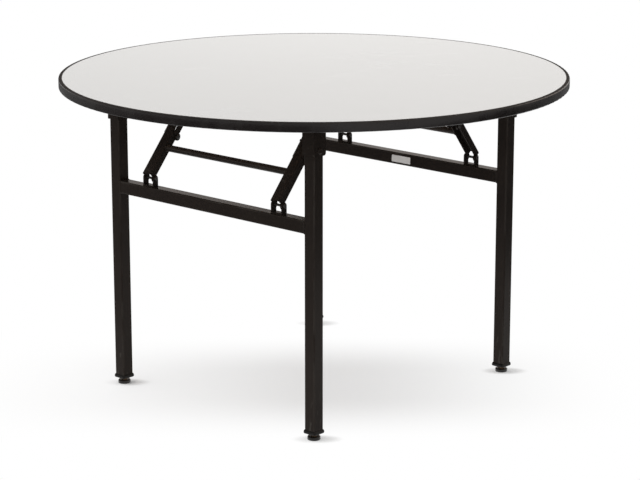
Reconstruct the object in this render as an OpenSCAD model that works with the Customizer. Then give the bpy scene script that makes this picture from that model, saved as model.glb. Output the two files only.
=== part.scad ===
// Round folding table. A laminate top with a dark edge moulding stands on two
// square-tube leg frames. Each frame hinges in four-sided stand-off brackets,
// folds inward under the top, and is locked upright by a pair of knee braces.
// Origin on the floor under the middle of the table, X across the two frames,
// Y along the crossbars, Z up. All lengths are in millimetres.

/* [Table] */
// Diameter of the table top over its edge moulding
table_d = 1200; // [1000:10:1500]
// Height of the table top above the floor
table_h = 750; // [700:5:780]
// Distance between the two leg frames, centre to centre of the legs
frame_span = 684; // [660:2:760]
// Distance between the two legs of one frame, centre to centre
leg_span = 620; // [540:5:700]
// Distance between the two knee braces of one frame
brace_span = 410; // [300:5:440]

/* [Top] */
// Thickness of the particle board core
core_t = 20.4; // [16:0.2:28]
// Thickness of the decorative laminate on the upper face
laminate_t = 0.8; // [0.5:0.1:1.5]
// Thickness of the backing sheet on the underside
backing_t = 0.8; // [0.5:0.1:1.5]
// Width of the edge moulding, measured along the radius
edge_w = 6.3; // [4:0.1:10]
// Rounding of the two outer corners of the edge moulding
edge_r = 2.6; // [1:0.1:3.8]
// Length of the tongue that holds the moulding in the core
tongue_l = 8; // [4:0.5:12]
// Thickness of that tongue
tongue_t = 2.2; // [1.5:0.1:3]
// Clearance round the moulding and its tongue
edge_fit = 0.1; // [0.05:0.05:0.3]

/* [Tubes] */
// Outer width of the square tube used for legs and crossbars
tube_w = 30; // [25:1:34]
// Wall of the square tube
tube_wall = 1.5; // [1:0.1:2.5]
// Outer corner radius of the square tube
tube_r = 3; // [2.6:0.1:5]
// Depth of the top face of the crossbars below the table top
bar_drop = 246; // [238:2:270]

/* [Hinge brackets] */
// Depth of the hinge pins of the first frame below the top
hinge_drop_a = 66; // [60:1:72]
// Depth of the hinge pins of the second frame, which folds over the first
hinge_drop_b = 81; // [76:1:90]
// Sheet thickness of the hinge brackets
bracket_t = 2.5; // [2:0.1:4]
// Distance from a hinge pin down to the lower edge of its bracket
bracket_tail = 12; // [8:0.5:14]
// How far the cheeks of the bracket reach past the inner face of the leg
bracket_lap = 5; // [3:0.5:7]
// Rounding of the lower inner corner of each cheek
bracket_r = 6; // [4:0.5:8]
// Length of each foot of the bracket that is screwed to the top
bracket_foot = 24; // [18:1:36]
// Diameter of the hinge pins
hinge_pin_d = 8; // [6:0.5:10]

/* [Knee braces] */
// Width of the lower brace arm over its two flanges
arm_w = 28; // [22:1:32]
// Depth of both brace arms from web to flange edge
arm_depth = 18; // [15:0.5:20]
// Sheet thickness of the brace arms
arm_t = 2; // [1.5:0.1:2.5]
// Outer bend radius between the web and the flanges
arm_bend = 3; // [2.6:0.1:4]
// Radius of the ears round the pivots of the arms
ear_r = 9; // [8:0.5:10]
// Distance from the lug pin to the knee on the first frame
arm_a = 115; // [110:1:116]
// Distance from the lug pin to the knee on the second frame
arm_b = 112; // [108:1:114]
// Distance inward from the legs to the upper brace pin of the first frame
reach_a = 154; // [146:1:160]
// Distance inward from the legs to the upper brace pin of the second frame
reach_b = 141; // [134:1:146]
// Depth of the upper brace pins below the top
brace_drop = 22; // [20:1:30]
// Distance from the lug pin to the start of the web of the lower arm
web_start = 1; // [0:1:8]
// Distance from the upper brace pin to the end of the web of the upper arm
web_end = 10; // [9:1:16]
// Length of the cross tab at the end of the tongue, which locks the knee
tab_l = 5; // [3:0.5:7]
// Length of the forked part of the upper arm, from the knee to its web
fork_l = 56; // [54:1:64]
// Length of the slope where the fork grows to its full depth
fork_slope = 11; // [6:1:16]
// Diameter of the lug pins and of the upper brace pins
brace_pin_d = 6; // [5:0.5:8]
// Diameter of the knee rivets
rivet_d = 6; // [5:0.5:7]
// Diameter of the tie rod between the two lower arms
rod_d = 16; // [12:0.5:16]
// Distance from the lug pin to the tie rod along the arm
rod_at = 79; // [74:1:80]
// Height of the tie rod above the line of the pivots
rod_up = 8; // [7:0.5:9]

/* [Lugs and brace brackets] */
// Height of the lug pins above the crossbar
lug_h = 19; // [16:1:24]
// Width of a lug across the crossbar
lug_w = 15; // [12:1:20]
// Sheet thickness of the lugs
lug_t = 3; // [2:0.5:4]
// Width of the brackets that carry the upper brace pins
seat_w = 16; // [16:1:24]
// Length of each screwed foot of those brackets
seat_foot = 22; // [16:1:30]

/* [Feet] */
// Diameter of the round glides
glide_d = 30; // [24:1:34]
// Height of the glides
glide_h = 9; // [7:0.5:12]
// Rounding of the glides
glide_r = 3.2; // [1:0.1:3.4]
// Diameter of the threaded studs
stud_d = 8; // [6:1:10]
// Length of the threaded studs above the collar
stud_l = 34; // [26:1:44]
// Height of the collar between glide and leg
collar_h = 5.2; // [2:0.1:6]
// Diameter of the collar
collar_d = 14; // [12:0.5:18]
// Height of the rim of the end cap below the tube
cap_rim = 4; // [3:0.5:6]
// How far the rim of the end cap stands proud of the tube
cap_lap = 2; // [0.5:0.1:2.5]
// Height of the plug of the end cap inside the tube
cap_plug = 18; // [12:1:26]
// Side clearance of that plug in the tube
cap_fit = 0.2; // [0.1:0.05:0.4]

/* [Fasteners and fits] */
// Diameter of the heads of the hinge pins
hinge_head_d = 14; // [12:0.5:17]
// Diameter of the heads of the brace pins and knee rivets
small_head_d = 11; // [9:0.5:13]
// Height of every pin and rivet head
head_h = 2.8; // [2:0.1:3.5]
// Shank diameter of the wood screws
screw_d = 4; // [3.5:0.1:4.6]
// Head diameter of the wood screws
screw_head_d = 8.4; // [7:0.1:9]
// Head height of the wood screws
screw_head_h = 2.2; // [1.6:0.1:2.6]
// Length of the wood screws below their heads
screw_l = 16; // [12:1:18]
// Side clearance between sheet parts that turn against each other
side_fit = 0.3; // [0.2:0.05:0.5]
// Radial clearance of a pin in the part that turns on it
turn_fit = 0.05; // [0.02:0.01:0.1]
// Radial clearance of a pin or screw in the part that holds it
hold_fit = 0.02; // [0.01:0.01:0.05]

/* [Hidden] */
$fn = 64;
// Overrun of every cut past the face that it opens
cut = 1;
// Share of a head's height and of its radius that is a sloped rim
head_slope_share = 0.45;
head_flat_share = 0.7;
// Shares of the foot lengths at which the screws sit
hinge_screw_share = 0.55;
seat_screw_share = 0.6;

top_t = core_t + laminate_t + backing_t;
under_z = table_h - top_t;
core_r = table_d / 2 - edge_w - edge_fit;
core_z = under_z + backing_t;
leg_foot = glide_h + collar_h + side_fit + cap_rim;
bar_top = table_h - bar_drop;
bar_z = bar_top - tube_w / 2;
bracket_in = tube_w + 2 * side_fit;
bracket_out = bracket_in + 2 * bracket_t;
bracket_x0 = -bracket_out / 2;
bracket_x1 = tube_w / 2 + bracket_lap;
pin_z = bar_top + lug_h;
lug_in = arm_w + 2 * side_fit;
lug_out = lug_in + 2 * lug_t;
fork_in = arm_w + 2 * side_fit;
fork_out = fork_in + 2 * arm_t;
fork_h = arm_depth - arm_t - side_fit;
tongue_reach = fork_l - fork_slope - 2 * side_fit;
seat_in = fork_out + 2 * side_fit;
seat_out = seat_in + 2 * bracket_t;
brace_z = under_z - brace_drop;
rise = brace_z - pin_z;
hinge_screw_dx = (bracket_x1 - bracket_x0) / 4;
hinge_screw_y = bracket_out / 2 + bracket_foot * hinge_screw_share;
seat_screw_y = seat_out / 2 + seat_foot * seat_screw_share;

// Values that differ between the first frame, a, and the second, b
function hinge_z(f) = under_z - (f == "a" ? hinge_drop_a : hinge_drop_b);
function knee(f) = f == "a" ? arm_a : arm_b;
function reach(f) = f == "a" ? reach_a : reach_b;
function brace_l(f) = norm([reach(f), rise]);
function brace_angle(f) = atan2(rise, reach(f));

// Places of the screws under the top, as x and y from the leg or brace
hinge_screws = [for (i = [-1, 1], j = [-1, 1])
    [(bracket_x0 + bracket_x1) / 2 + i * hinge_screw_dx, j * hinge_screw_y]];
seat_screws = [for (j = [-1, 1]) [0, j * seat_screw_y]];

// Moves a piece drawn at a leg axis, with +X inward, to frame a or b
module in_frame(f) {
    if (f == "a")
        translate([-frame_span / 2, 0, 0]) children();
    else
        translate([frame_span / 2, 0, 0]) mirror([1, 0, 0]) children();
}

// Moves a piece to one leg of a frame, e is -1 or 1
module at_leg(f, e) {
    in_frame(f) translate([0, e * leg_span / 2, 0]) children();
}

// Moves a piece drawn along the brace, from the lug pin, to one brace
module on_brace(f, e) {
    in_frame(f)
        translate([0, e * brace_span / 2, pin_z])
            rotate([0, -brace_angle(f), 0]) children();
}

// Upright sheet of thickness t, drawn in X and Z and centred on Y
module sheet(t) {
    rotate([90, 0, 0])
        translate([0, 0, -t / 2])
            linear_extrude(t) children();
}

// Rod along Y, centred on the origin
module rod(d, l) {
    rotate([90, 0, 0])
        cylinder(d = d, h = l, center = true);
}

// Rectangle with round corners, centred on the origin
module round_rect(w, h, r) {
    square([w - 2 * r, h], center = true);
    square([w, h - 2 * r], center = true);
    for (i = [-1, 1], j = [-1, 1])
        translate([i * (w / 2 - r), j * (h / 2 - r)]) circle(r);
}

// Cross-section of the square tube
module tube_section() {
    difference() {
        round_rect(tube_w, tube_w, tube_r);
        round_rect(tube_w - 2 * tube_wall, tube_w - 2 * tube_wall, tube_r - tube_wall);
    }
}

// Cross-section of a folded channel, open side down, web at height arm_depth
module channel_section(w) {
    intersection() {
        difference() {
            round_rect(w, 2 * arm_depth, arm_bend);
            round_rect(w - 2 * arm_t, 2 * (arm_depth - arm_t), arm_bend - arm_t);
        }
        translate([-w / 2, 0]) square([w, arm_depth]);
    }
}

// Length of channel along X, from x0 to x1
module channel(w, x0, x1) {
    translate([x0, 0, 0])
        rotate([90, 0, 90])
            linear_extrude(x1 - x0) channel_section(w);
}

// Pin head standing on z = 0, with a sloped rim
module head(d) {
    cylinder(d = d, h = head_h * (1 - head_slope_share));
    translate([0, 0, head_h * (1 - head_slope_share)])
        cylinder(d1 = d, d2 = d * head_flat_share, h = head_h * head_slope_share);
}

// Headed pin along Y that grips the width w between its heads
module headed_pin(d, head_d, w) {
    rod(d, w + head_h);
    for (e = [-1, 1])
        translate([0, e * w / 2, 0]) rotate([-e * 90, 0, 0]) head(head_d);
}

// Table top

module screw_holes(d, z0, l) {
    for (f = ["a", "b"], e = [-1, 1]) {
        for (p = hinge_screws)
            at_leg(f, e) translate([p[0], p[1], z0]) cylinder(d = d, h = l);
        for (p = seat_screws)
            in_frame(f)
                translate([reach(f) + p[0], e * brace_span / 2 + p[1], z0])
                    cylinder(d = d, h = l);
    }
}

module core_board() {
    color("#b89a70")
    difference() {
        translate([0, 0, core_z]) cylinder(r = core_r, h = core_t, $fn = 180);
        translate([0, 0, core_z + core_t / 2 - tongue_t / 2 - edge_fit])
            difference() {
                cylinder(r = core_r + cut, h = tongue_t + 2 * edge_fit, $fn = 180);
                translate([0, 0, -cut])
                    cylinder(r = core_r - tongue_l - edge_fit, h = tongue_t + 2 * cut, $fn = 180);
            }
        screw_holes(screw_d + 2 * hold_fit, core_z - cut, screw_l + cut);
    }
}

module top_laminate() {
    color("#e5e3de")
    translate([0, 0, core_z + core_t]) cylinder(r = core_r, h = laminate_t, $fn = 180);
}

module backing_sheet() {
    color("#a98f72")
    difference() {
        translate([0, 0, under_z]) cylinder(r = core_r, h = backing_t, $fn = 180);
        screw_holes(screw_d + 2 * hold_fit, under_z - cut, backing_t + 2 * cut);
    }
}

module edge_moulding() {
    rim_r = table_d / 2;
    color("#262321")
    rotate_extrude($fn = 180) {
        translate([rim_r - edge_w, under_z]) square([edge_w - edge_r, top_t]);
        translate([rim_r - edge_w, under_z + edge_r]) square([edge_w, top_t - 2 * edge_r]);
        for (z = [under_z + edge_r, table_h - edge_r])
            translate([rim_r - edge_r, z]) circle(edge_r);
        translate([rim_r - edge_w - tongue_l, core_z + (core_t - tongue_t) / 2])
            square([tongue_l + edge_r, tongue_t]);
    }
}

// Hinge brackets under the top

module hinge_bracket(f, e) {
    h = under_z - hinge_z(f) + bracket_tail;
    z0 = hinge_z(f) - bracket_tail;
    color("#2b2826")
    at_leg(f, e)
    difference() {
        union() {
            for (j = [-1, 1]) {
                translate([0, j * (bracket_in + bracket_t) / 2, 0])
                    sheet(bracket_t) {
                        translate([bracket_x0, z0 + bracket_r])
                            square([bracket_x1 - bracket_x0, h - bracket_r]);
                        translate([bracket_x0, z0])
                            square([bracket_x1 - bracket_x0 - bracket_r, h]);
                        translate([bracket_x1 - bracket_r, z0 + bracket_r]) circle(bracket_r);
                    }
                translate([bracket_x0, j * (bracket_out + bracket_foot) / 2 - bracket_foot / 2, under_z - bracket_t])
                    cube([bracket_x1 - bracket_x0, bracket_foot, bracket_t]);
            }
            translate([bracket_x0, -bracket_out / 2, z0]) cube([bracket_t, bracket_out, h]);
        }
        translate([0, 0, hinge_z(f)]) rod(hinge_pin_d + 2 * hold_fit, bracket_out + 2 * cut);
        for (p = hinge_screws)
            translate([p[0], p[1], under_z - bracket_t - cut])
                cylinder(d = screw_d + 2 * hold_fit, h = bracket_t + 2 * cut);
    }
}

module hinge_pins(f) {
    color("#6f6a62")
    for (e = [-1, 1])
        at_leg(f, e) translate([0, 0, hinge_z(f)]) headed_pin(hinge_pin_d, hinge_head_d, bracket_out);
}

// Brackets for the upper ends of the braces

module brace_bracket(f, e) {
    color("#2b2826")
    in_frame(f) translate([reach(f), e * brace_span / 2, 0])
    difference() {
        union() {
            for (j = [-1, 1]) {
                translate([0, j * (seat_in + bracket_t) / 2, 0])
                    sheet(bracket_t) {
                        translate([-seat_w / 2, brace_z]) square([seat_w, brace_drop]);
                        translate([0, brace_z]) circle(seat_w / 2);
                    }
            }
            translate([-seat_w / 2, -seat_out / 2 - seat_foot, under_z - bracket_t])
                cube([seat_w, seat_out + 2 * seat_foot, bracket_t]);
        }
        translate([0, 0, brace_z]) rod(brace_pin_d + 2 * hold_fit, seat_out + 2 * cut);
        for (p = seat_screws)
            translate([p[0], p[1], under_z - bracket_t - cut])
                cylinder(d = screw_d + 2 * hold_fit, h = bracket_t + 2 * cut);
    }
}

module brace_pins(f) {
    color("#6f6a62")
    for (e = [-1, 1])
        in_frame(f)
            translate([reach(f), e * brace_span / 2, brace_z])
                headed_pin(brace_pin_d, small_head_d, seat_out);
}

module screw() {
    translate([0, 0, -screw_head_h * (1 - head_slope_share)])
        cylinder(d = screw_head_d, h = screw_head_h * (1 - head_slope_share));
    translate([0, 0, -screw_head_h])
        cylinder(d1 = screw_head_d * head_flat_share, d2 = screw_head_d, h = screw_head_h * head_slope_share);
    cylinder(d = screw_d, h = screw_l);
}

module bracket_screws() {
    color("#a39d92")
    for (f = ["a", "b"], e = [-1, 1]) {
        for (p = hinge_screws)
            at_leg(f, e) translate([p[0], p[1], under_z - bracket_t]) screw();
        for (p = seat_screws)
            in_frame(f)
                translate([reach(f) + p[0], e * brace_span / 2 + p[1], under_z - bracket_t]) screw();
    }
}

// Leg frames

module leg(f, e) {
    color("#2e2b28")
    at_leg(f, e)
    difference() {
        intersection() {
            translate([0, 0, leg_foot])
                linear_extrude(hinge_z(f) + tube_w / 2 - leg_foot) tube_section();
            union() {
                translate([-tube_w / 2, -tube_w / 2, leg_foot])
                    cube([tube_w, tube_w, hinge_z(f) - leg_foot]);
                translate([0, 0, hinge_z(f)]) rod(tube_w, tube_w);
            }
        }
        translate([0, 0, hinge_z(f)]) rod(hinge_pin_d + 2 * turn_fit, tube_w + 2 * cut);
    }
}

module crossbar(f) {
    color("#2e2b28")
    in_frame(f)
        translate([0, 0, bar_z])
            rotate([90, 0, 0])
                translate([0, 0, -(leg_span - tube_w) / 2])
                    linear_extrude(leg_span - tube_w) tube_section();
}

module lug(f, e) {
    color("#2b2826")
    in_frame(f) translate([0, e * brace_span / 2, 0])
    difference() {
        union() {
            translate([-lug_w / 2, -lug_out / 2, bar_top]) cube([lug_w, lug_out, lug_t]);
            for (j = [-1, 1])
                translate([0, j * (lug_in + lug_t) / 2, 0])
                    sheet(lug_t) {
                        translate([-lug_w / 2, bar_top]) square([lug_w, lug_h]);
                        translate([0, pin_z]) circle(lug_w / 2);
                    }
        }
        translate([0, 0, pin_z]) rod(brace_pin_d + 2 * hold_fit, lug_out + 2 * cut);
    }
}

module lug_pins(f) {
    color("#4b4641")
    for (e = [-1, 1])
        in_frame(f)
            translate([0, e * brace_span / 2, pin_z])
                headed_pin(brace_pin_d, small_head_d, lug_out);
}

module end_caps(f) {
    rim_w = tube_w + 2 * cap_lap;
    plug_w = tube_w - 2 * tube_wall - 2 * cap_fit;
    color("#1d1b1a")
    for (e = [-1, 1])
        at_leg(f, e)
        difference() {
            union() {
                translate([0, 0, leg_foot - cap_rim])
                    linear_extrude(cap_rim) round_rect(rim_w, rim_w, tube_r + cap_lap);
                translate([0, 0, leg_foot])
                    linear_extrude(cap_plug) round_rect(plug_w, plug_w, tube_r - tube_wall);
            }
            translate([0, 0, leg_foot - cap_rim - cut])
                cylinder(d = stud_d + 2 * turn_fit, h = cap_rim + cap_plug + 2 * cut);
        }
}

// Knee braces: the web of the lower arm runs on past the knee as a tongue
// that closes the fork, and its cross tab rests on the edges of the fork

module lower_arm(f, e) {
    a = knee(f);
    color("#2b2826")
    on_brace(f, e)
    difference() {
        union() {
            channel(arm_w, web_start, a + tongue_reach - tab_l - side_fit);
            for (j = [-1, 1])
                translate([0, j * (arm_w - arm_t) / 2, 0])
                    sheet(arm_t) {
                        circle(ear_r);
                        square([web_start + ear_r, arm_depth - arm_bend]);
                        translate([a, 0]) circle(ear_r);
                    }
            translate([a, -arm_w / 2 + arm_bend, arm_depth - arm_t])
                cube([tongue_reach, arm_w - 2 * arm_bend, arm_t]);
            translate([a + tongue_reach - tab_l, -fork_out / 2, arm_depth - arm_t])
                cube([tab_l, fork_out, arm_t]);
        }
        rod(brace_pin_d + 2 * turn_fit, arm_w + 2 * cut);
        translate([a, 0, 0]) rod(rivet_d + 2 * turn_fit, arm_w + 2 * cut);
        translate([a + ear_r, -arm_w / 2 - cut, -cut])
            cube([tongue_reach, arm_w + 2 * cut, arm_depth - arm_t + cut]);
    }
}

// The tie rod joins the lower arms of one frame so that both knees unlock at once
module tie_rod(f) {
    color("#2b2826")
    in_frame(f)
        translate([0, 0, pin_z])
            rotate([0, -brace_angle(f), 0])
                translate([rod_at, 0, rod_up]) rod(rod_d, brace_span - arm_w);
}

// The upper arm is forked, so that the lower arm folds in between its cheeks
module upper_arm(f, e) {
    a = knee(f);
    l = brace_l(f);
    color("#2b2826")
    on_brace(f, e)
    difference() {
        union() {
            channel(fork_out, a + fork_l, l - web_end);
            for (j = [-1, 1])
                translate([0, j * (fork_out - arm_t) / 2, 0])
                    sheet(arm_t) {
                        translate([a, 0]) circle(ear_r);
                        translate([l, 0]) circle(ear_r);
                        polygon([
                            [a, 0], [l, 0], [l, arm_depth - arm_bend],
                            [a + fork_l, arm_depth - arm_bend],
                            [a + fork_l, arm_depth - arm_bend / 3],
                            [a + fork_l - fork_slope, fork_h], [a, fork_h]
                        ]);
                    }
        }
        translate([l, 0, 0]) rod(brace_pin_d + 2 * turn_fit, fork_out + 2 * cut);
        translate([a, 0, 0]) rod(rivet_d + 2 * hold_fit, fork_out + 2 * cut);
    }
}

module knee_rivets(f, e) {
    color("#6f6a62")
    on_brace(f, e)
    translate([knee(f), 0, 0])
    for (j = [-1, 1]) {
        translate([0, j * (fork_out - arm_t) / 2, 0]) rod(rivet_d, arm_t);
        translate([0, j * fork_out / 2, 0]) rotate([-j * 90, 0, 0]) head(small_head_d);
    }
}

// Levelling feet

module glide(f, e) {
    color("#1d1b1a")
    at_leg(f, e)
    difference() {
        rotate_extrude() {
            square([glide_d / 2 - glide_r, glide_h]);
            translate([0, glide_r / 2]) square([glide_d / 2, glide_h - glide_r * 3 / 2]);
            translate([glide_d / 2 - glide_r, glide_h - glide_r]) circle(glide_r);
            translate([glide_d / 2 - glide_r / 2, glide_r / 2]) circle(glide_r / 2);
        }
        translate([0, 0, glide_h / 2]) cylinder(d = stud_d + 2 * hold_fit, h = glide_h);
    }
}

module stud(f, e) {
    color("#8a7f6c")
    at_leg(f, e) {
        translate([0, 0, glide_h / 2]) cylinder(d = stud_d, h = glide_h / 2 + collar_h + stud_l);
        translate([0, 0, glide_h]) cylinder(d = collar_d, h = collar_h);
    }
}

// One module for each piece

module hinge_bracket_a1() hinge_bracket("a", -1);
module hinge_bracket_a2() hinge_bracket("a", 1);
module hinge_bracket_b1() hinge_bracket("b", -1);
module hinge_bracket_b2() hinge_bracket("b", 1);
module hinge_pins_a() hinge_pins("a");
module hinge_pins_b() hinge_pins("b");
module brace_bracket_a1() brace_bracket("a", -1);
module brace_bracket_a2() brace_bracket("a", 1);
module brace_bracket_b1() brace_bracket("b", -1);
module brace_bracket_b2() brace_bracket("b", 1);
module brace_pins_a() brace_pins("a");
module brace_pins_b() brace_pins("b");
module leg_a1() leg("a", -1);
module leg_a2() leg("a", 1);
module leg_b1() leg("b", -1);
module leg_b2() leg("b", 1);
module crossbar_a() crossbar("a");
module crossbar_b() crossbar("b");
module lug_a1() lug("a", -1);
module lug_a2() lug("a", 1);
module lug_b1() lug("b", -1);
module lug_b2() lug("b", 1);
module lug_pins_a() lug_pins("a");
module lug_pins_b() lug_pins("b");
module end_caps_a() end_caps("a");
module end_caps_b() end_caps("b");
module lower_arm_a1() lower_arm("a", -1);
module lower_arm_a2() lower_arm("a", 1);
module lower_arm_b1() lower_arm("b", -1);
module lower_arm_b2() lower_arm("b", 1);
module tie_rod_a() tie_rod("a");
module tie_rod_b() tie_rod("b");
module upper_arm_a1() upper_arm("a", -1);
module upper_arm_a2() upper_arm("a", 1);
module upper_arm_b1() upper_arm("b", -1);
module upper_arm_b2() upper_arm("b", 1);
module knee_rivets_a1() knee_rivets("a", -1);
module knee_rivets_a2() knee_rivets("a", 1);
module knee_rivets_b1() knee_rivets("b", -1);
module knee_rivets_b2() knee_rivets("b", 1);
module glide_a1() glide("a", -1);
module glide_a2() glide("a", 1);
module glide_b1() glide("b", -1);
module glide_b2() glide("b", 1);
module stud_a1() stud("a", -1);
module stud_a2() stud("a", 1);
module stud_b1() stud("b", -1);
module stud_b2() stud("b", 1);

core_board();
top_laminate();
backing_sheet();
edge_moulding();
hinge_bracket_a1();
hinge_bracket_a2();
hinge_bracket_b1();
hinge_bracket_b2();
hinge_pins_a();
hinge_pins_b();
brace_bracket_a1();
brace_bracket_a2();
brace_bracket_b1();
brace_bracket_b2();
brace_pins_a();
brace_pins_b();
bracket_screws();
leg_a1();
leg_a2();
leg_b1();
leg_b2();
crossbar_a();
crossbar_b();
lug_a1();
lug_a2();
lug_b1();
lug_b2();
lug_pins_a();
lug_pins_b();
end_caps_a();
end_caps_b();
lower_arm_a1();
lower_arm_a2();
lower_arm_b1();
lower_arm_b2();
tie_rod_a();
tie_rod_b();
upper_arm_a1();
upper_arm_a2();
upper_arm_b1();
upper_arm_b2();
knee_rivets_a1();
knee_rivets_a2();
knee_rivets_b1();
knee_rivets_b2();
glide_a1();
glide_a2();
glide_b1();
glide_b2();
stud_a1();
stud_a2();
stud_b1();
stud_b2();
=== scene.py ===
# %% [markdown]
# # A round folding table
#
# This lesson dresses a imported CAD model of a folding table: a laminated round top
# with a dark edge moulding, on two leg frames of square tube that fold flat under
# it. The solids come first, because everything else is placed against them.

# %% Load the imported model
import bmesh
import bpy
import math
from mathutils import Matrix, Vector


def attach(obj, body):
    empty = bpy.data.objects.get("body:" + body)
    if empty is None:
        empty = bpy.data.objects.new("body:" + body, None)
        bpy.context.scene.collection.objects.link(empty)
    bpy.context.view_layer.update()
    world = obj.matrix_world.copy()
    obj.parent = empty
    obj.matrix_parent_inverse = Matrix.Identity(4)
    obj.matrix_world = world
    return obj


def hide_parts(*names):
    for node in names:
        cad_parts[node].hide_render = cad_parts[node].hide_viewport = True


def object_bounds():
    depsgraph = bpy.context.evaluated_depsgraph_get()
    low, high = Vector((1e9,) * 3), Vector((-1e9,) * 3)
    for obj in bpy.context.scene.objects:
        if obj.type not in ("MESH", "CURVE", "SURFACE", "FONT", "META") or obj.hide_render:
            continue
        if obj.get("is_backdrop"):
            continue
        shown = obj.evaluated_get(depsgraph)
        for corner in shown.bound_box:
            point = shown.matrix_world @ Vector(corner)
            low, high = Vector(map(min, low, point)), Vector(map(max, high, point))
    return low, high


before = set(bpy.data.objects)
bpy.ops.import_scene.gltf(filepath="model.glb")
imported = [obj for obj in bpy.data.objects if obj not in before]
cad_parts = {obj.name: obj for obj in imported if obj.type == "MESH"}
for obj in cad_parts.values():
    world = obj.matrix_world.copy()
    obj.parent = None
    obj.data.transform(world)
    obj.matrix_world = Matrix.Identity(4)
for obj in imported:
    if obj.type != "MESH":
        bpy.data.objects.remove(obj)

MM = 0.001
cad_low, cad_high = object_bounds()
print("nodes", len(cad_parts), "box", [round(v, 4) for v in cad_high - cad_low])

# %% [markdown]
# ## Where the parts are
#
# The table stands on z = 0 with its middle on the Z axis. Frame a is at the
# negative end of X and frame b at the positive end. Each frame has a leg and a
# knee brace on either side. The places below repeat the sizes of the part, so that
# a weld or a screw lands exactly on the solid that carries it.

# %% Sizes of the part, in metres
TOP_Z = 0.750
UNDER_Z = 0.728
EDGE_R = 0.5937
LEG_X = {"a": -0.342, "b": 0.342}
INWARD = {"a": 1, "b": -1}
SIDES = {"1": -1, "2": 1}
LEG_Y = 0.310
BRACE_Y = 0.205
TUBE = 0.030
TUBE_R = 0.003
BAR_TOP = 0.504
BAR_Z = BAR_TOP - TUBE / 2
PIN_Z = 0.523
REACH = {"a": 0.154, "b": 0.141}
BRACE_TOP_Z = 0.706
ROD_AT, ROD_UP, ROD_R = 0.079, 0.008, 0.008
print("legs at", sorted(LEG_X.values()), "+-", LEG_Y)


# %% Angles once round a circle, and a value held between 0 and 1
def turns(count, start=0.0):
    return [2 * math.pi * (k + start) / count for k in range(count)]


def clamp(value):
    return max(0.0, min(1.0, value))


print("a circle in four:", [round(t, 3) for t in turns(4)])

# %% [markdown]
# ## Shader maths as Python
#
# A finish is mostly arithmetic on a few patterns. `Wire` wraps one output socket
# and overloads the operators, so that an expression such as `1 - mask * 0.3` adds
# its own Math nodes. Numbers alone stay in Python. Colours and vectors don't go
# through Math nodes, which would turn them grey. `Nodes` makes every other node of
# a tree, for a material or for the world, and `Finish` is the tree of one material.

# %% The wire: one socket that can be calculated with
class Wire:
    def __init__(self, finish, socket):
        self.finish = finish
        self.socket = socket

    def math(self, operation, *others):
        return self.finish.node("ShaderNodeMath", {"operation": operation},
                                dict(enumerate([self, *others])))

    def __add__(self, other):
        return self.math("ADD", other)

    __radd__ = __add__

    def __mul__(self, other):
        return self.math("MULTIPLY", other)

    __rmul__ = __mul__

    def __sub__(self, other):
        return self.math("SUBTRACT", other)

    def __rsub__(self, other):
        return self.finish.node("ShaderNodeMath", {"operation": "SUBTRACT"}, {0: other, 1: self})

    def __truediv__(self, other):
        return self.math("DIVIDE", other)

    def __pow__(self, other):
        return self.math("POWER", other)

    def __abs__(self):
        return self.math("ABSOLUTE")

    def above(self, edge, width):
        """0 below the edge, 1 above it, with a soft step of that width."""
        return self.finish.node("ShaderNodeMapRange", {"interpolation_type": "SMOOTHSTEP"},
                                {"Value": self, "From Min": edge - width / 2, "From Max": edge + width / 2})

    def below(self, edge, width):
        return 1 - self.above(edge, width)


# %% A node tree, and the wires between its nodes
class Nodes:
    def __init__(self, tree):
        self.tree = tree

    def first(self, kind):
        return next(n for n in self.tree.nodes if n.type == kind)

    def node(self, kind, settings=None, inputs=None, out=0):
        made = self.tree.nodes.new(kind)
        for key, value in (settings or {}).items():
            setattr(made, key, value)
        for key, value in (inputs or {}).items():
            self.feed(made.inputs[key], value)
        return Wire(self, made.outputs[out])

    def others(self, wire, *names):
        """More outputs of the node that a wire comes from."""
        return [Wire(self, wire.socket.node.outputs[name]) for name in names]

    def feed(self, socket, value):
        if isinstance(value, Wire):
            self.tree.links.new(value.socket, socket)
        elif isinstance(value, (tuple, list)) and socket.type == "RGBA":
            socket.default_value = (*value[:3], 1)
        else:
            socket.default_value = value

    def along(self, direction, place):
        """How far a place lies in that direction."""
        return self.node("ShaderNodeVectorMath", {"operation": "DOT_PRODUCT"},
                         {0: place, 1: direction}, out=1)

    def grey(self, level):
        return self.node("ShaderNodeCombineColor", inputs={0: level, 1: level, 2: level})

    def seen_directly(self):
        """1 for rays from the camera, and for what metal and glass reflect or let through."""
        camera, glossy, through = self.others(self.node("ShaderNodeLightPath"), "Is Camera Ray",
                                              "Is Glossy Ray", "Is Transmission Ray")
        return camera, camera.math("MAXIMUM", glossy).math("MAXIMUM", through)


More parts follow.
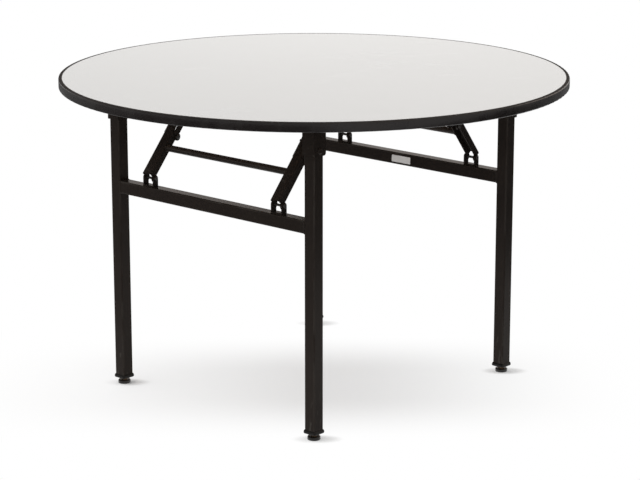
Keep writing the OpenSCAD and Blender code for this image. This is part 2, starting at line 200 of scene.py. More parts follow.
# %% The finish: one material under construction
class Finish(Nodes):
    def __init__(self, name):
        self.material = bpy.data.materials.new(name)
        self.material.use_nodes = True
        super().__init__(self.material.node_tree)
        self.shader = self.first("BSDF_PRINCIPLED")

    def place(self):
        """Position on the object at rest, which moves with the piece when it folds."""
        return self.node("ShaderNodeTexCoord", out="Object")

    def axes(self):
        """The three coordinates as separate wires, in metres."""
        return self.others(self.node("ShaderNodeSeparateXYZ", inputs={"Vector": self.place()}), 0, 1, 2)

    def from_middle(self):
        """Distance from the Z axis."""
        x, y, z = self.axes()
        return (x * x + y * y) ** 0.5

    def stretch(self, scale):
        return self.node("ShaderNodeVectorMath", {"operation": "MULTIPLY"}, {0: self.place(), 1: scale})

    def noise(self, scale, detail=2, place=None):
        return self.node("ShaderNodeTexNoise",
                         inputs={"Vector": place or self.place(), "Scale": scale, "Detail": detail})

    def blend(self, mask, first, second):
        """Mix of two colours: the first where the mask is 0, the second where it is 1."""
        return self.node("ShaderNodeMix", {"data_type": "RGBA"}, {0: mask, 6: first, 7: second}, out=2)

    def bump(self, height, distance, strength):
        return self.node("ShaderNodeBump",
                         inputs={"Height": height, "Distance": distance, "Strength": strength})

    def set(self, **values):
        """Sets or links the shader's own sockets, named with _ for a space."""
        for key, value in values.items():
            self.feed(self.shader.inputs[key.replace("_", " ")], value)


def finish_count():
    return len([m for m in bpy.data.materials if m.use_nodes])


print("finishes so far", finish_count())

# %% [markdown]
# ## Camera
#
# The camera comes from a perspective fit to the photo: the rim, the edges of the
# legs and crossbars, and the feet. It is a long lens, about five metres away and
# nearly one metre above the top. Nothing is shifted, so other views of the table
# stay centred.

# %% The camera at the photo's place
AZIMUTH = math.radians(-47.68)
CAMERA_D = 5.267
CAMERA_Z = 1.680
PITCH = math.radians(14.238)
TURN = math.radians(0.150)
FOCAL_PX = 2261.45
PHOTO_W = 640
SENSOR_W = 36

camera_data = bpy.data.cameras.new("photo_camera")
camera_data.sensor_width = SENSOR_W
camera_data.lens = SENSOR_W * FOCAL_PX / PHOTO_W
camera = bpy.data.objects.new("photo_camera", camera_data)
camera.location = (math.sin(AZIMUTH) * CAMERA_D, -math.cos(AZIMUTH) * CAMERA_D, CAMERA_Z)
camera.rotation_euler = (math.pi / 2 - PITCH, 0, AZIMUTH - TURN)
bpy.context.collection.objects.link(camera)
bpy.context.scene.camera = camera
bpy.context.scene.view_settings.view_transform = "Standard"
print("camera", [round(v, 3) for v in camera.location], "lens", round(camera_data.lens, 1))

# %% [markdown]
# ## Studio
#
# The photo is a plain product shot on white. Its light is a dome, far brighter on
# the left than on the right, with a soft lamp above and a small window behind the
# table, so that the top darkens towards the front. The ground is a real floor that
# takes a shadow, but only where a mask lets it. To the camera it gets just enough
# glow of its own to read as white paper everywhere else.
#
# A dark glossy coat shows what it mirrors more than the light that falls on it. So
# the floor and the sky have levels of their own for mirrored rays. These are wide
# zones, placed along the photo's line of sight.

# %% Directions of the studio, as the photo's camera stands in it
AWAY = (-math.sin(AZIMUTH), math.cos(AZIMUTH), 0)
RIGHTWARD = (math.cos(AZIMUTH), math.sin(AZIMUTH), 0)
print("away", [round(v, 3) for v in AWAY], "right", [round(v, 3) for v in RIGHTWARD])

# %% Floor
FLOOR_R, FLOOR_SIDES = 30.0, 96

floor_mesh = bpy.data.meshes.new("floor")
outline = [(FLOOR_R * math.cos(t), FLOOR_R * math.sin(t), 0) for t in turns(FLOOR_SIDES)]
floor_mesh.from_pydata(outline, [], [list(range(FLOOR_SIDES))])
floor = bpy.data.objects.new("floor", floor_mesh)
bpy.context.collection.objects.link(floor)
floor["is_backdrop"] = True

paper = Finish("floor_paper")
from_camera, seen = paper.seen_directly()
spot = paper.place()
depth, side = paper.along(AWAY, spot), paper.along(RIGHTWARD, spot)
paper.set(Base_Color=(0.80, 0.80, 0.80), Roughness=0.9, Specular_IOR_Level=0.1)
print("floor", 2 * FLOOR_R, "m across")

# %% Where the paper takes a shadow: a flat oval under the table and a small one at each foot
# Each soft step is given as its middle and its width, in metres.
SHADOW_SHARE = 0.46
OVAL_NEARER, OVAL_FADE, OVAL_DEPTH, OVAL_RIGHT = 0.058, 0.8, (0.255, 0.31), (0.45, 0.8)
FOOT_DEPTH, FOOT_WIDTH, FOOT_SHIFT, FOOT_SHARE = 0.032, 0.062, 0.008, 1.1

takes = abs(depth + OVAL_NEARER).below(*OVAL_DEPTH) * (1 - abs(side) * OVAL_FADE) * side.below(*OVAL_RIGHT)
for leg_x in LEG_X.values():
    for sign in SIDES.values():
        foot = Vector((leg_x, sign * LEG_Y, 0))
        off_depth = (depth - foot.dot(Vector(AWAY))) / FOOT_DEPTH
        off_side = (side - foot.dot(Vector(RIGHTWARD)) - FOOT_SHIFT) / FOOT_WIDTH
        takes = takes + (off_depth * off_depth + off_side * off_side).below(0.5, 1.0) * FOOT_SHARE
share = takes * SHADOW_SHARE
shade_of = paper.node("ShaderNodeBsdfDiffuse", inputs={"Color": paper.grey(share)})
print("shadow at", len(LEG_X) * len(SIDES), "feet")

# %% How bright the paper looks to the camera, and in reflections by zone
# Soft steps as above. The one of the near zone is taken on the squared distance.
OPEN_LIGHT = 1.08
NEAR_GLOW, NEAR_SLOPE, BEHIND_GLOW, CARD_GLOW = 0.80, 0.35, 0.21, 1.0
NEAR_SQUARED, BEHIND_SLANT, BEHIND_DEPTH = (1.9, 1.2), 0.19, (0.1, 0.8)
CARD_RIGHT, CARD_DEPTH = (0.2, 1.0), (-1.6, 1.0)

near = (depth * depth + side * side).below(*NEAR_SQUARED)
behind = (depth - side * BEHIND_SLANT).above(*BEHIND_DEPTH)
card = side.above(*CARD_RIGHT) * depth.below(*CARD_DEPTH)
far_glow = behind * BEHIND_GLOW + (1 - behind) * card * CARD_GLOW
mirrored = near * (NEAR_GLOW + side * NEAR_SLOPE) + (1 - near) * far_glow
glow_level = mirrored * (1 - from_camera) + (1 - share * OPEN_LIGHT) * from_camera
glow = paper.node("ShaderNodeEmission", inputs={"Color": (1, 1, 1), "Strength": glow_level})
lit = paper.node("ShaderNodeAddShader", inputs={0: shade_of, 1: glow})
plain = Wire(paper, paper.shader.outputs[0])
front = paper.node("ShaderNodeMixShader", inputs={0: seen, 1: plain, 2: lit})
under = paper.others(paper.node("ShaderNodeNewGeometry"), "Backfacing")[0]
clear = paper.node("ShaderNodeBsdfTransparent")
both = paper.node("ShaderNodeMixShader", inputs={0: under, 1: front, 2: clear})
paper.feed(paper.first("OUTPUT_MATERIAL").inputs[0], both)
floor.data.materials.append(paper.material)
print("floor nodes", len(paper.tree.nodes))

# %% World
WORLD_LEFT, WORLD_RIGHT = 1.50, 0.10
MIRROR_LOW, MIRROR_LEFT, MIRROR_RIGHT = 1.0, 0.20, 1.05
LOW_SKY, LEFT_TO_RIGHT = (0.19, 0.10), (0, 1.4)
LESS_GREEN, LESS_BLUE, LOW_IS_WHITE = 0.13, 0.23, 0.85

world = bpy.data.worlds.new("studio")
bpy.context.scene.world = world
world.use_nodes = True
sky = Nodes(world.node_tree)
from_camera, seen = sky.seen_directly()
view = sky.node("ShaderNodeTexCoord")
heading = sky.along(RIGHTWARD, view)
low = sky.along((0, 0, 1), view).below(*LOW_SKY)
to_left, to_right = heading.below(*LEFT_TO_RIGHT), heading.above(*LEFT_TO_RIGHT)
high_glow = to_left * MIRROR_LEFT + to_right * MIRROR_RIGHT
mirrored = (low * MIRROR_LOW + (1 - low) * high_glow) * (1 - from_camera) + from_camera
dome = to_left * WORLD_LEFT + to_right * WORLD_RIGHT
level = sky.node("ShaderNodeMix", inputs={0: seen, 2: dome, 3: mirrored})
warmth = seen * (1 - from_camera) * (1 - low * LOW_IS_WHITE)
sky_colour = sky.node("ShaderNodeCombineColor",
                      inputs={0: 1, 1: 1 - warmth * LESS_GREEN, 2: 1 - warmth * LESS_BLUE})
backdrop = sky.first("BACKGROUND")
sky.feed(backdrop.inputs["Color"], sky_colour)
sky.feed(backdrop.inputs["Strength"], level)
print("world light", WORLD_LEFT, WORLD_RIGHT)

# %% Lamps
CEILING_LIGHT, CEILING_SPREAD, CEILING_AT = 0.60, math.radians(55), (-0.25, 0.15, 3.0)
WINDOW_LIGHT, WINDOW_W, WINDOW_H = 8.0, 1.2, 0.8
WINDOW_AWAY, WINDOW_Z, LIT_AWAY = 1.2, 2.2, 0.4


def hang(light, energy, place, target):
    """Puts a lamp at a place, turned to its target."""
    lamp = bpy.data.objects.new(light.name, light)
    light.energy = energy
    lamp.location = place
    lamp.rotation_euler = (Vector(target) - Vector(place)).to_track_quat("-Z", "Y").to_euler()
    bpy.context.collection.objects.link(lamp)
    return lamp


ceiling = bpy.data.lights.new("soft_ceiling", "SUN")
ceiling.angle = CEILING_SPREAD
hang(ceiling, CEILING_LIGHT, CEILING_AT, (0, 0, 0))

back_window = bpy.data.lights.new("back_window", "AREA")
back_window.shape = "RECTANGLE"
back_window.size, back_window.size_y = WINDOW_W, WINDOW_H
above_back = Vector(AWAY) * WINDOW_AWAY + Vector((0, 0, WINDOW_Z))
back_of_top = Vector(AWAY) * LIT_AWAY + Vector((0, 0, TOP_Z))
far_lamp = hang(back_window, WINDOW_LIGHT, above_back, back_of_top)
far_lamp.visible_glossy = False

# %% [markdown]
# ## The laminate
#
# The working surface is a decorative laminate: paper and resin pressed against a
# satin plate. It is nearly white. A pressed plate leaves a very fine pebble, and
# use leaves soft clouds where the sheen changes, so both go into the bump and the
# roughness and hardly any into the colour. Along the moulding, a thin dark ring is
# painted shade of the narrow gap between laminate and moulding.

# %% Laminate finish
# Width of the painted shade ring along the moulding.
GAP_SHADE_W = 0.0024
laminate = Finish("pale_laminate")
clouds = laminate.noise(3.2, 3)
pebble = laminate.noise(1400, 2)
fleck = laminate.noise(420, 1).above(0.70, 0.06)
tint = laminate.blend(clouds, (0.645, 0.650, 0.646), (0.669, 0.675, 0.673))
tint = laminate.blend(fleck * 0.35, tint, (0.570, 0.552, 0.530))
# Painted shade: a thin, dark, matt ring along the outer edge stands for the shade in the gap against the
# moulding.
gap_shade = laminate.from_middle().above(EDGE_R - GAP_SHADE_W, 0.0008)
tint = laminate.blend(gap_shade, tint, (0.020, 0.017, 0.016))
laminate.set(Base_Color=tint, Roughness=0.20 + clouds * 0.08 + pebble * 0.04 + gap_shade * 0.5,
             Specular_IOR_Level=0.45, Normal=laminate.bump(pebble, 0.00004, 0.5))
print("laminate nodes", len(laminate.tree.nodes))

# %% [markdown]
# ## The edge moulding
#
# The rim is an extruded plastic strip, knocked into a groove round the board. It
# comes out of its die with fine lines along its length, and the two ends meet in
# one butt joint. The lines run round the table, so they depend on height and on
# the distance from the middle only, and the joint is a thin dark line at one angle.
# The outer face is slightly crowned, which the bump adds, and the upper side is matt.

# %% Edge moulding finish
JOINT_ANGLE = 2.2
edge_plastic = Finish("edge_plastic")
x, y, z = edge_plastic.axes()
profile = edge_plastic.node("ShaderNodeCombineXYZ", inputs={0: edge_plastic.from_middle(), 1: z})
die_lines = edge_plastic.node("ShaderNodeTexNoise", {"noise_dimensions": "2D"},
                              {"Vector": profile, "Scale": 1900, "Detail": 2})
mottle = edge_plastic.noise(55, 3)
round_angle = y.math("ARCTAN2", x)
crown = (z - (TOP_Z + UNDER_Z) / 2) / ((TOP_Z - UNDER_Z) / 2)
upper_side = crown.above(0.93, 0.10)
joint = abs(round_angle - JOINT_ANGLE).below(0.0006, 0.0004)
grime = edge_plastic.noise(14, 4).above(0.55, 0.25)
rim_colour = edge_plastic.blend(mottle, (0.0114, 0.0094, 0.0092), (0.0168, 0.0140, 0.0138))
rim_colour = edge_plastic.blend(grime * 0.35, rim_colour, (0.030, 0.027, 0.026))
rim_colour = edge_plastic.blend(joint * 0.9, rim_colour, (0.002, 0.002, 0.002))
rim_rough = 0.20 + mottle * 0.08 + grime * 0.08 + upper_side * 0.62
rim_height = die_lines * 0.5 + mottle * 0.3 - joint * 2 - crown * crown * 12
edge_plastic.set(Base_Color=rim_colour, Roughness=rim_rough, Specular_IOR_Level=0.24,
                 Normal=edge_plastic.bump(rim_height, 0.00012, 0.7))
print("edge nodes", len(edge_plastic.tree.nodes))

# %% [markdown]
# ## Board and backing
#
# Under the laminate lies a particle board, whose chips only show in a screw hole
# or on a chipped edge. Its underside has a plain brown backing paper, which stops
# the board from bowing. It is matt, with a faint fibre along one direction.

# %% Board and backing finishes
board = Finish("particle_board")
chips = board.node("ShaderNodeTexVoronoi",
                   inputs={"Vector": board.stretch((1.0, 0.6, 1.6)), "Scale": 420}, out="Color")
chip_tone = board.node("ShaderNodeSeparateColor", inputs={0: chips})
board.set(Base_Color=board.blend(chip_tone, (0.36, 0.235, 0.125), (0.62, 0.47, 0.29)),
          Roughness=0.75 + chip_tone * 0.15, Normal=board.bump(chip_tone, 0.0003, 0.6))

backing = Finish("backing_paper")
fibre = backing.noise(90, 4, backing.stretch((0.05, 1.0, 1.0)))
patches = backing.noise(5, 3)
paper_tone = backing.blend(patches * 0.7 + fibre * 0.3, (0.250, 0.178, 0.128), (0.315, 0.230, 0.170))
backing.set(Base_Color=paper_tone, Roughness=0.58 + fibre * 0.18, Specular_IOR_Level=0.3,
            Normal=backing.bump(fibre, 0.00012, 0.6))
print("board", len(board.tree.nodes), "backing", len(backing.tree.nodes))

# %% [markdown]
# ## Powder coat
#
# The frames are square tube with a near-black powder coat, brown rather than blue.
# Powder melts into a faint orange peel about a millimetre and a half across, with
# finer grain on top. Where tubes are handled and stacked, the coat polishes along
# the corners. Each tube's corners are found from its own place: how near a point
# is to both faces of a 30 mm square round the tube's axis.

# %% Powder coat finish
DARK = (0.0135, 0.0107, 0.0091)
LIGHT = (0.0206, 0.0164, 0.0139)
WARM_SHINE = (1.0, 0.84, 0.76)
CORNER_W, CORNER_SOFT = 0.0030, 0.0022


def powder_coat(name, rough, speckle=0.0):
    """Dark, slightly uneven powder coat, without any wear."""
    coat = Finish(name)
    orange_peel = coat.noise(620, 1)
    grain = coat.noise(2600, 2)
    cloud = coat.noise(9, 3)
    coat.tone = coat.blend(cloud, DARK, LIGHT)
    if speckle:
        dust = coat.noise(1500, 1).above(0.72, 0.05)
        coat.tone = coat.blend(dust * speckle, coat.tone, (0.09, 0.085, 0.078))
    coat.rough = rough + cloud * 0.07 + grain * 0.04
    coat.height = orange_peel + grain * 0.25
    return coat


def finish_coat(coat, specular=0.10):
    """Links what the coat has become to its shader."""
    coat.set(Base_Color=coat.tone, Roughness=coat.rough, Specular_IOR_Level=specular,
             Specular_Tint=WARM_SHINE, Normal=coat.bump(coat.height, 0.00006, 0.55))
    return coat.material


def polish(coat, mask, tone, smoother):
    """Wear: a lighter tone and a smoother surface where the mask is 1."""
    coat.tone = coat.blend(mask, coat.tone, tone)
    coat.rough = coat.rough - mask * smoother


def polish_corners(coat, off_axis, stretched):
    """Rubs a tube's corners in patches. off_axis is the way from the axis, both directions added."""
    corner = off_axis.above(TUBE - CORNER_W, CORNER_SOFT)
    patchy = coat.noise(38, 4, coat.stretch(stretched)).above(0.50, 0.22)
    polish(coat, corner * patchy * 0.5, (0.045, 0.041, 0.036), 0.10)


print("powder coat from", DARK, "to", LIGHT)

# %% Leg tubes: polished along the corners, scuffed near the floor, with the tube's own seam
SEAM_OFF, SEAM_HALF, FACE_SOFT = 0.004, 0.0006, 0.0003


def leg_finish(name, leg_x, leg_y):
    coat = powder_coat(name, 0.26, speckle=0.25)
    x, y, z = coat.axes()
    off_x, off_y = abs(x - leg_x), abs(y - leg_y)
    polish_corners(coat, off_x + off_y, (1, 1, 0.35))
    scuffs = coat.noise(120, 3, coat.stretch((1, 1, 0.25))).above(0.62, 0.06) * z.below(0.10, 0.12)
    polish(coat, scuffs * 0.5, (0.060, 0.056, 0.050), -0.12)
    on_face = off_x.above(TUBE / 2 - 0.0004, FACE_SOFT)
    tube_seam = abs(off_y - SEAM_OFF).below(SEAM_HALF, 0.0008) * on_face
    coat.height = coat.height + tube_seam * 1.5
    return finish_coat(coat)


leg_coats = {f + e: leg_finish(f"powder_coat_leg_{f}{e}", LEG_X[f], SIDES[e] * LEG_Y)
             for f in LEG_X for e in SIDES}
print("leg coats", sorted(leg_coats))

# %% Crossbars: their corners run along Y, and the heat of the welds dulls the ends
HEAT_Y, HEAT_SOFT = LEG_Y - 0.034, 0.020


def bar_finish(name, bar_x):
    coat = powder_coat(name, 0.17, speckle=0.25)
    x, y, z = coat.axes()
    polish_corners(coat, abs(x - bar_x) + abs(z - BAR_Z), (1, 0.35, 1))
    heat = abs(y).above(HEAT_Y, HEAT_SOFT)
    coat.rough = coat.rough + heat * 0.06
    return finish_coat(coat)


bar_coats = {f: bar_finish(f"powder_coat_bar_{f}", LEG_X[f]) for f in LEG_X}
print("bar coats", sorted(bar_coats))

# %% [markdown]
# ## Pressed steel, pins and plastic
#
# Brackets, lugs and brace arms are bent from sheet and coated with the same powder,
# but they rub against each other when the table folds, so their coat has fine
# scratches. Pins and rivets are coated dark too. Plated parts are few: the wood
# screws under the top in pale zinc with turning marks, and the threaded studs in a
# brown one. The end caps are black plastic with a fine spark texture, and the glides
# are turned smooth, so they shine.

# %% Sheet steel of brackets, lugs, arms and rods
sheet_coat = powder_coat("powder_coat_sheet", 0.22, speckle=0.35)
scratch = sheet_coat.noise(900, 1, sheet_coat.stretch((1.0, 0.08, 0.25))).above(0.70, 0.05)
rubbed = sheet_coat.noise(30, 3).above(0.56, 0.16)
polish(sheet_coat, scratch * rubbed * 0.7, (0.085, 0.080, 0.072), 0.08)
sheet_coat.height = sheet_coat.height - scratch * 0.6
sheet_steel = finish_coat(sheet_coat)

rod_coat = powder_coat("powder_coat_rod", 0.20, speckle=0.25)
grip = rod_coat.noise(45, 3, rod_coat.stretch((1, 0.3, 1))).above(0.55, 0.2)
polish(rod_coat, grip * 0.3, (0.030, 0.027, 0.024), 0.08)
rod_steel = finish_coat(rod_coat, specular=0.20)
print("sheet", len(sheet_coat.tree.nodes), "rod", len(rod_coat.tree.nodes))

# %% Plating, coated pins, plastic caps and glides
zinc = Finish("zinc_plating")
turning = zinc.noise(2400, 2, zinc.stretch((1.0, 0.15, 1.0)))
stain = zinc.noise(160, 3)
zinc_tone = zinc.blend(stain, (0.235, 0.215, 0.185), (0.42, 0.395, 0.35))
zinc.set(Base_Color=zinc_tone, Metallic=0.85 + stain * 0.15,
         Roughness=0.26 + turning * 0.12 + stain * 0.14, Normal=zinc.bump(turning, 0.00005, 0.5))

dark_pin = Finish("coated_pin")
pin_cloud = dark_pin.noise(260, 2)
dark_pin.set(Base_Color=dark_pin.blend(pin_cloud, (0.014, 0.012, 0.010), (0.026, 0.023, 0.020)),
             Metallic=0.1, Roughness=0.34 + pin_cloud * 0.18,
             Normal=dark_pin.bump(dark_pin.noise(1500, 2), 0.00005, 0.6))

plastic = Finish("black_plastic")
spark = plastic.noise(2600, 2)
plastic_cloud = plastic.noise(60, 3)
x, y, z = plastic.axes()
floor_wear = z.below(0.003, 0.003) * plastic.noise(300, 3).above(0.45, 0.3)
plastic_tone = plastic.blend(plastic_cloud, (0.0070, 0.0064, 0.0060), (0.0110, 0.0100, 0.0095))
plastic_tone = plastic.blend(floor_wear * 0.5, plastic_tone, (0.06, 0.058, 0.054))
plastic.set(Base_Color=plastic_tone, Roughness=0.36 + spark * 0.16 + floor_wear * 0.15,
            Specular_IOR_Level=0.16, Normal=plastic.bump(spark, 0.00008, 0.6))

glide_skin = Finish("turned_glide")
swirl = glide_skin.noise(700, 2)
glide_skin.set(Base_Color=glide_skin.blend(swirl, (0.0060, 0.0052, 0.0048), (0.0100, 0.0088, 0.0080)),
               Roughness=0.15 + swirl * 0.10, Specular_IOR_Level=0.35,
               Normal=glide_skin.bump(swirl, 0.00003, 0.5))

brown_zinc = Finish("brown_zinc")
thread_stain = brown_zinc.noise(240, 3)
brown_zinc.set(Base_Color=brown_zinc.blend(thread_stain, (0.150, 0.092, 0.052), (0.300, 0.205, 0.125)),
               Metallic=1.0, Roughness=0.20 + thread_stain * 0.12,
               Normal=brown_zinc.bump(brown_zinc.noise(1800, 2), 0.00005, 0.5))
print("finishes so far", finish_count())

# %% [markdown]
# ## Dressing the solids
#
# Every solid of the model keeps its shape and gets one of these finishes. Only the
# plain wood screws are left out, because a drawn piece stands for them further down.

# %% Give each solid its finish


def dress(name, material):
    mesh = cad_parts[name].data
    mesh.materials.clear()
    mesh.materials.append(material)


dress("top_laminate", laminate.material)
dress("edge_moulding", edge_plastic.material)
dress("core_board", board.material)
dress("backing_sheet", backing.material)
for f in LEG_X:
    dress(f"crossbar_{f}", bar_coats[f])
    dress(f"tie_rod_{f}", rod_steel)
    dress(f"end_caps_{f}", plastic.material)
    dress(f"hinge_pins_{f}", sheet_steel)
    dress(f"brace_pins_{f}", dark_pin.material)
    dress(f"lug_pins_{f}", dark_pin.material)
    for e in SIDES:
        dress(f"leg_{f}{e}", leg_coats[f + e])
        for sheet_part in ("hinge_bracket", "brace_bracket", "lug", "lower_arm", "upper_arm"):
            dress(f"{sheet_part}_{f}{e}", sheet_steel)
        dress(f"knee_rivets_{f}{e}", dark_pin.material)
        dress(f"glide_{f}{e}", glide_skin.material)
        dress(f"stud_{f}{e}", brown_zinc.material)
print("dressed", len([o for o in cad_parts.values() if o.data.materials]))

# %% [markdown]
# ## Weld beads
#
# The crossbars are welded to the legs all round, the lugs to the crossbars along
# their two long edges, and the tie rods to the arms. A weld is a row of small
# overlapping pools. A tube swept along the joint, whose radius swells and sinks
# every two and a half millimetres, gives that look with few faces.

# %% Finish of the welds: the same coat, glossier because it runs thin over a bead
weld_steel = finish_coat(powder_coat("powder_coat_weld", 0.22), specular=0.20)
print("weld finish", weld_steel.name)

# %% Tools for small meshes: an outline, a band between two rings, a finished piece
CORNER_STEPS = 8


def rounded_outline(w, h, r):
    """Points round a rectangle with round corners, about its middle."""
    points = []
    for k, (sx, sy) in enumerate(((1, 1), (-1, 1), (-1, -1), (1, -1))):
        for i in range(CORNER_STEPS + 1):
            t = math.pi / 2 * (k + i / CORNER_STEPS)
            points.append((sx * (w / 2 - r) + r * math.cos(t), sy * (h / 2 - r) + r * math.sin(t)))
    return points


def bridge(bm, first, second):
    """A band of faces between two rings that have as many points each."""
    for k in range(len(first)):
        m = (k + 1) % len(first)
        bm.faces.new((first[k], first[m], second[m], second[k]))


def add_piece(bm, name, body, material):
    """Makes a mesh a piece of that body, with its faces turned outwards."""
    bmesh.ops.recalc_face_normals(bm, faces=bm.faces)
    mesh = bpy.data.meshes.new(name)
    bm.to_mesh(mesh)
    bm.free()
    for polygon in mesh.polygons:
        polygon.use_smooth = True
    mesh.materials.append(material)
    piece = bpy.data.objects.new(name, mesh)
    bpy.context.collection.objects.link(piece)
    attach(piece, body)
    return piece


print("points of an outline", len(rounded_outline(1, 1, 0.1)))

# %% A tool that sweeps a rippled bead along a path
RIPPLE, SWELL, BEAD_SIDES, BEAD_STEP = 0.0024, 0.08, 10, 0.0006
# An open bead is rounded over its last rings, and starts with a fraction of a step.
END_RINGS, END_START = 4, 0.35
# Any direction that no weld runs along.
ASKEW = Vector((0.31, 0.52, 0.79))


def add_bead(bm, points, radius, closed):
    """Adds a rippled tube along the points to the mesh, with rounded ends when it is open."""
    count = len(points)
    walked, rings = 0.0, []
    for i, here in enumerate(points):
        before = points[i - 1] if (closed or i) else here
        after = points[(i + 1) % count] if (closed or i < count - 1) else here
        along = (after - before).normalized()
        across = along.cross(ASKEW).normalized()
        up = along.cross(across)
        walked += (here - points[i - 1]).length if i else 0
        r = radius * (1 + 2 * SWELL * abs(math.sin(math.pi * walked / RIPPLE)) - SWELL)
        if not closed:
            r *= math.sqrt(clamp((min(i, count - 1 - i) + END_START) / END_RINGS))
        rings.append([bm.verts.new(here + (across * math.cos(t) + up * math.sin(t)) * r)
                      for t in turns(BEAD_SIDES)])
    for i in range(count if closed else count - 1):
        bridge(bm, rings[i], rings[(i + 1) % count])
    if not closed:
        bm.faces.new(list(reversed(rings[0])))
        bm.faces.new(rings[-1])


def bead_piece(name, paths, radius, closed, body):
    bm = bmesh.new()
    for points in paths:
        add_bead(bm, points, radius, closed)
    add_piece(bm, name, body, weld_steel)


def line(a, b):
    """Points from a to b, one step of a bead apart."""
    a, b = Vector(a), Vector(b)
    count = max(2, round((b - a).length / BEAD_STEP))
    return [a.lerp(b, i / count) for i in range(count + 1)]


print("bead tool ready, one ripple every", RIPPLE, "m")

# %% Welds between crossbars and legs
BAR_BEAD, OFF_FACE, IN_BAR = 0.0017, 0.0004, 0.0003


def bar_loop(leg_x, y):
    """Points round the crossbar, just under its surface, in the plane of that y."""
    size = TUBE - 2 * IN_BAR
    points = [Vector((leg_x + u, y, BAR_Z + v)) for u, v in rounded_outline(size, size, TUBE_R)]
    dense = []
    for i, here in enumerate(points):
        dense += line(here, points[(i + 1) % len(points)])[:-1]
    return dense


for f, leg_x in LEG_X.items():
    loops = [bar_loop(leg_x, sign * (LEG_Y - TUBE / 2 - OFF_FACE)) for sign in SIDES.values()]
    bead_piece(f"crossbar_welds_{f}", loops, BAR_BEAD, True, f"frame_{f}")
print("crossbar welds of", BAR_BEAD, "m radius")

# %% Welds under the lugs, which end 2 mm before the lugs' corners
LUG_BEAD, LUG_HALF_X, WELD_HALF_Y = 0.0015, 0.0075, 0.0153

for f, leg_x in LEG_X.items():
    seams = []
    for sign in SIDES.values():
        y0, y1 = sign * BRACE_Y - WELD_HALF_Y, sign * BRACE_Y + WELD_HALF_Y
        for seam_x in (leg_x - LUG_HALF_X, leg_x + LUG_HALF_X):
            seams.append(line((seam_x, y0, BAR_TOP), (seam_x, y1, BAR_TOP)))
    bead_piece(f"lug_welds_{f}", seams, LUG_BEAD, False, f"frame_{f}")
print("lug welds", len(LEG_X) * len(seams))

# %% Welds between tie rods and lower arms
ROD_BEAD, ROD_LOOP_R, ROD_LOOP_SIDES, ARM_HALF = 0.0013, ROD_R + 0.0003, 72, 0.014


def rod_centre(f):
    """Middle of the tie rod, from the lug pin along the brace and a little above its line."""
    reach = Vector((INWARD[f] * REACH[f], 0, BRACE_TOP_Z - PIN_Z)).normalized()
    up = Vector((-INWARD[f] * reach.z, 0, abs(reach.x)))
    return Vector((LEG_X[f], 0, PIN_Z)) + reach * ROD_AT + up * ROD_UP


for f in LEG_X:
    rings = []
    for y0 in (sign * (BRACE_Y - ARM_HALF - OFF_FACE) for sign in SIDES.values()):
        rings.append([rod_centre(f) + Vector((ROD_LOOP_R * math.cos(t), y0, ROD_LOOP_R * math.sin(t)))
                      for t in turns(ROD_LOOP_SIDES)])
    bead_piece(f"tie_rod_welds_{f}", rings, ROD_BEAD, True, f"lower_arms_{f}")
print("rod centres", [[round(v, 4) for v in rod_centre(f)] for f in LEG_X])

# %% [markdown]
# ## Wood screws
#
# Twenty-four pan head screws hold the brackets. Their heads point down, so they
# only show from below, but there a plain disc looks wrong at once. Each head is a
# polar height field: a dome, minus a cross that narrows as it goes in. One mesh
# holds them all and stands for the plain screws of the model.

# %% A domed head with a cross recess
HEAD_R, HEAD_H, SHANK_R, HEAD_SIDES = 0.0042, 0.0022, 0.002, 48
HEAD_RINGS = (0.06, 0.12, 0.18, 0.25, 0.32, 0.40, 0.48, 0.54, 0.60, 0.70, 0.80, 0.90, 0.96, 1.0)
DOME = 0.80
CROSS_R, CROSS_DEPTH, ARM_TIP, ARM_WIDER = 0.0023, 0.0013, 0.00055, 0.00025
ARM_SLOPE, END_SLOPE = 0.00022, 0.0003
FLANGE_T = 0.0025
SCREW_Z = UNDER_Z - FLANGE_T


def head_height(x, y):
    """How far the head stands out at that place: its dome, less the cross."""
    reach = math.hypot(x, y)
    dome = HEAD_H * math.sqrt(1 - DOME * min(1.0, reach / HEAD_R) ** 3)
    arm = ARM_TIP + ARM_WIDER * (1 - clamp(reach / CROSS_R))
    cross = clamp((arm - min(abs(x), abs(y))) / ARM_SLOPE) * clamp((CROSS_R - reach) / END_SLOPE)
    return dome - CROSS_DEPTH * cross


def add_screw(bm, x0, y0, turn):
    """The head, its flat underside, and the shank up to the board."""
    def ring(r, heights):
        return [bm.verts.new((x0 + r * math.cos(t + turn), y0 + r * math.sin(t + turn), z))
                for t, z in zip(turns(HEAD_SIDES), heights)]

    centre = bm.verts.new((x0, y0, SCREW_Z - head_height(0, 0)))
    rings = []
    for r in (HEAD_R * part for part in HEAD_RINGS):
        rings.append(ring(r, [SCREW_Z - head_height(r * math.cos(t), r * math.sin(t))
                              for t in turns(HEAD_SIDES)]))
    for r, z in ((HEAD_R, SCREW_Z), (SHANK_R, SCREW_Z), (SHANK_R, UNDER_Z)):
        rings.append(ring(r, [z] * HEAD_SIDES))
    for k in range(HEAD_SIDES):
        bm.faces.new((centre, rings[0][k], rings[0][(k + 1) % HEAD_SIDES]))
    for lower, upper in zip(rings, rings[1:]):
        bridge(bm, lower, upper)


print("screw head", HEAD_R, HEAD_H)

# %% All the screws, at the places of the model's own, each turned by another angle
HINGE_SCREW_X, HINGE_SCREW_DX, HINGE_SCREW_Y = 0.0011, 0.00945, 0.0310
BRACE_SCREW_Y = 0.0323

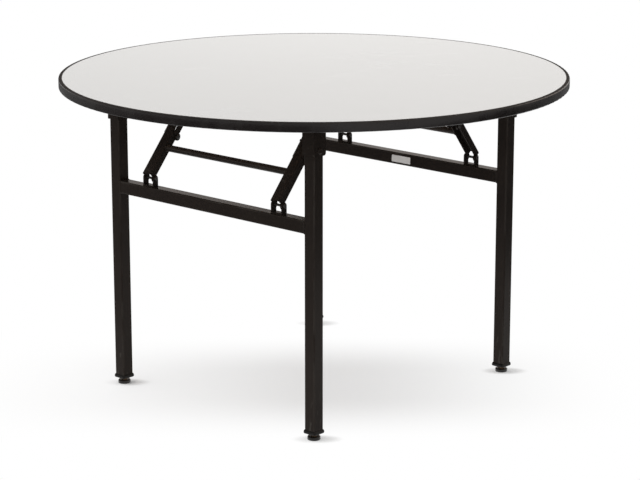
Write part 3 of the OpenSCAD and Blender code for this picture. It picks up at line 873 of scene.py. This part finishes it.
screws = bmesh.new()
turn = 0.3
for f in LEG_X:
    for sign in SIDES.values():
        spots = [(HINGE_SCREW_X + i * HINGE_SCREW_DX, sign * LEG_Y + j * HINGE_SCREW_Y)
                 for i in (-1, 1) for j in (-1, 1)]
        spots += [(REACH[f], sign * BRACE_Y + j * BRACE_SCREW_Y) for j in (-1, 1)]
        for along, y0 in spots:
            turn = (turn * 1.7 + 0.9) % 3.1
            add_screw(screws, LEG_X[f] + INWARD[f] * along, y0, turn)
screw_piece = add_piece(screws, "cross_head_screws", "top", zinc.material)
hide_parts("bracket_screws")
print("screw vertices", len(screw_piece.data.vertices))

# %% [markdown]
# ## The bare plate
#
# A small pale plate sits on the inner face of the far crossbar. On this table it
# stays blank: a thin plate with round corners and a rolled edge, held by its own
# adhesive. It is drawn as a rounded outline, raised and softened at the rim.

# %% Finish of the plate
foil = Finish("plate_foil")
brushed = foil.noise(1800, 2, foil.stretch((1.0, 0.04, 1.0)))
smudge = foil.noise(70, 3)
foil.set(Base_Color=foil.blend(smudge, (0.68, 0.67, 0.66), (0.78, 0.77, 0.76)), Metallic=0.15,
         Roughness=0.38 + brushed * 0.15, Normal=foil.bump(brushed, 0.00003, 0.5))
print("foil nodes", len(foil.tree.nodes))

# %% Blank plate on crossbar b
PLATE_X, PLATE_Y, PLATE_Z = LEG_X["b"] - TUBE / 2, 0.0050, 0.4884
PLATE_W, PLATE_H, PLATE_T, PLATE_R = 0.060, 0.0176, 0.0006, 0.0022
# The rolled edge, as pairs: how far in, and how much of the thickness is reached there.
ROLL = [(0.0, 0.0), (0.0, 0.6), (0.00015, 0.9), (0.0004, 1.0), (0.0016, 1.0)]

bm = bmesh.new()
loops = []
for inset, risen in ROLL:
    outline = rounded_outline(PLATE_W - 2 * inset, PLATE_H - 2 * inset, PLATE_R - min(inset, 0.001))
    loops.append([bm.verts.new((PLATE_X - PLATE_T * risen, PLATE_Y + u, PLATE_Z + v)) for u, v in outline])
for outer, inner in zip(loops, loops[1:]):
    bridge(bm, outer, inner)
bm.faces.new(loops[-1])
bm.faces.new(list(reversed(loops[0])))
add_piece(bm, "blank_plate", "frame_b", foil.material)
print("plate at", round(PLATE_X, 4), PLATE_Y, PLATE_Z)

# %% [markdown]
# ## End caps
#
# A moulded cap closes the end of each leg and carries the threaded foot. On this
# table it flares out like a small skirt round the tube. One closed strip of rings
# draws it: up the outside of the skirt, down into the slot that takes the tube's
# wall, up the plug, and back down the bore of the foot.

# %% One flared cap as a closed strip of rings
BORE_R, SHARP_FROM = 0.00405, math.radians(40)
# Each ring: half its width, the radius of its corners, and its height.
SKIRT = [(0.0153, 0.0030, 0.0145), (0.0166, 0.0041, 0.0148), (0.0176, 0.0048, 0.0158),
         (0.0180, 0.0051, 0.0176), (0.0178, 0.0050, 0.0198), (0.0171, 0.0044, 0.0218),
         (0.0160, 0.0035, 0.0230), (0.0152, 0.0031, 0.0234)]
PLUG = [(0.01505, 0.0030, 0.0184), (0.0133, 0.0013, 0.0184), (0.0133, 0.0013, 0.0358),
        (0.0127, 0.0010, 0.0365)]


def add_cap(bm, x0, y0):
    rings = []
    for half, corner, z in SKIRT + PLUG:
        outline = rounded_outline(2 * half, 2 * half, corner)
        rings.append([bm.verts.new((x0 + u, y0 + v, z)) for u, v in outline])
    for z in (PLUG[-1][2], SKIRT[0][2]):
        rings.append([bm.verts.new((x0 + BORE_R * math.cos(t), y0 + BORE_R * math.sin(t), z))
                      for t in turns(len(outline), 0.5)])
    for i, ring in enumerate(rings):
        bridge(bm, ring, rings[(i + 1) % len(rings)])


for f, leg_x in LEG_X.items():
    bm = bmesh.new()
    for sign in SIDES.values():
        add_cap(bm, leg_x, sign * LEG_Y)
    caps = add_piece(bm, f"flared_caps_{f}", f"frame_{f}", plastic.material)
    caps.data.set_sharp_from_angle(angle=SHARP_FROM)
    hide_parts(f"end_caps_{f}")
print("cap rings", len(SKIRT) + len(PLUG) + 2)

# %% [markdown]
# ## Size of the dressed table
#
# The dressed table must not be larger than the solids. The last cell prints by how
# much the dressed table reaches past the solids' box on each side, in millimetres.

# %% Compare the boxes
low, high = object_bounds()
grown = list(cad_low - low) + list(high - cad_high)
print("grown by mm", [round(v / MM, 3) for v in grown])
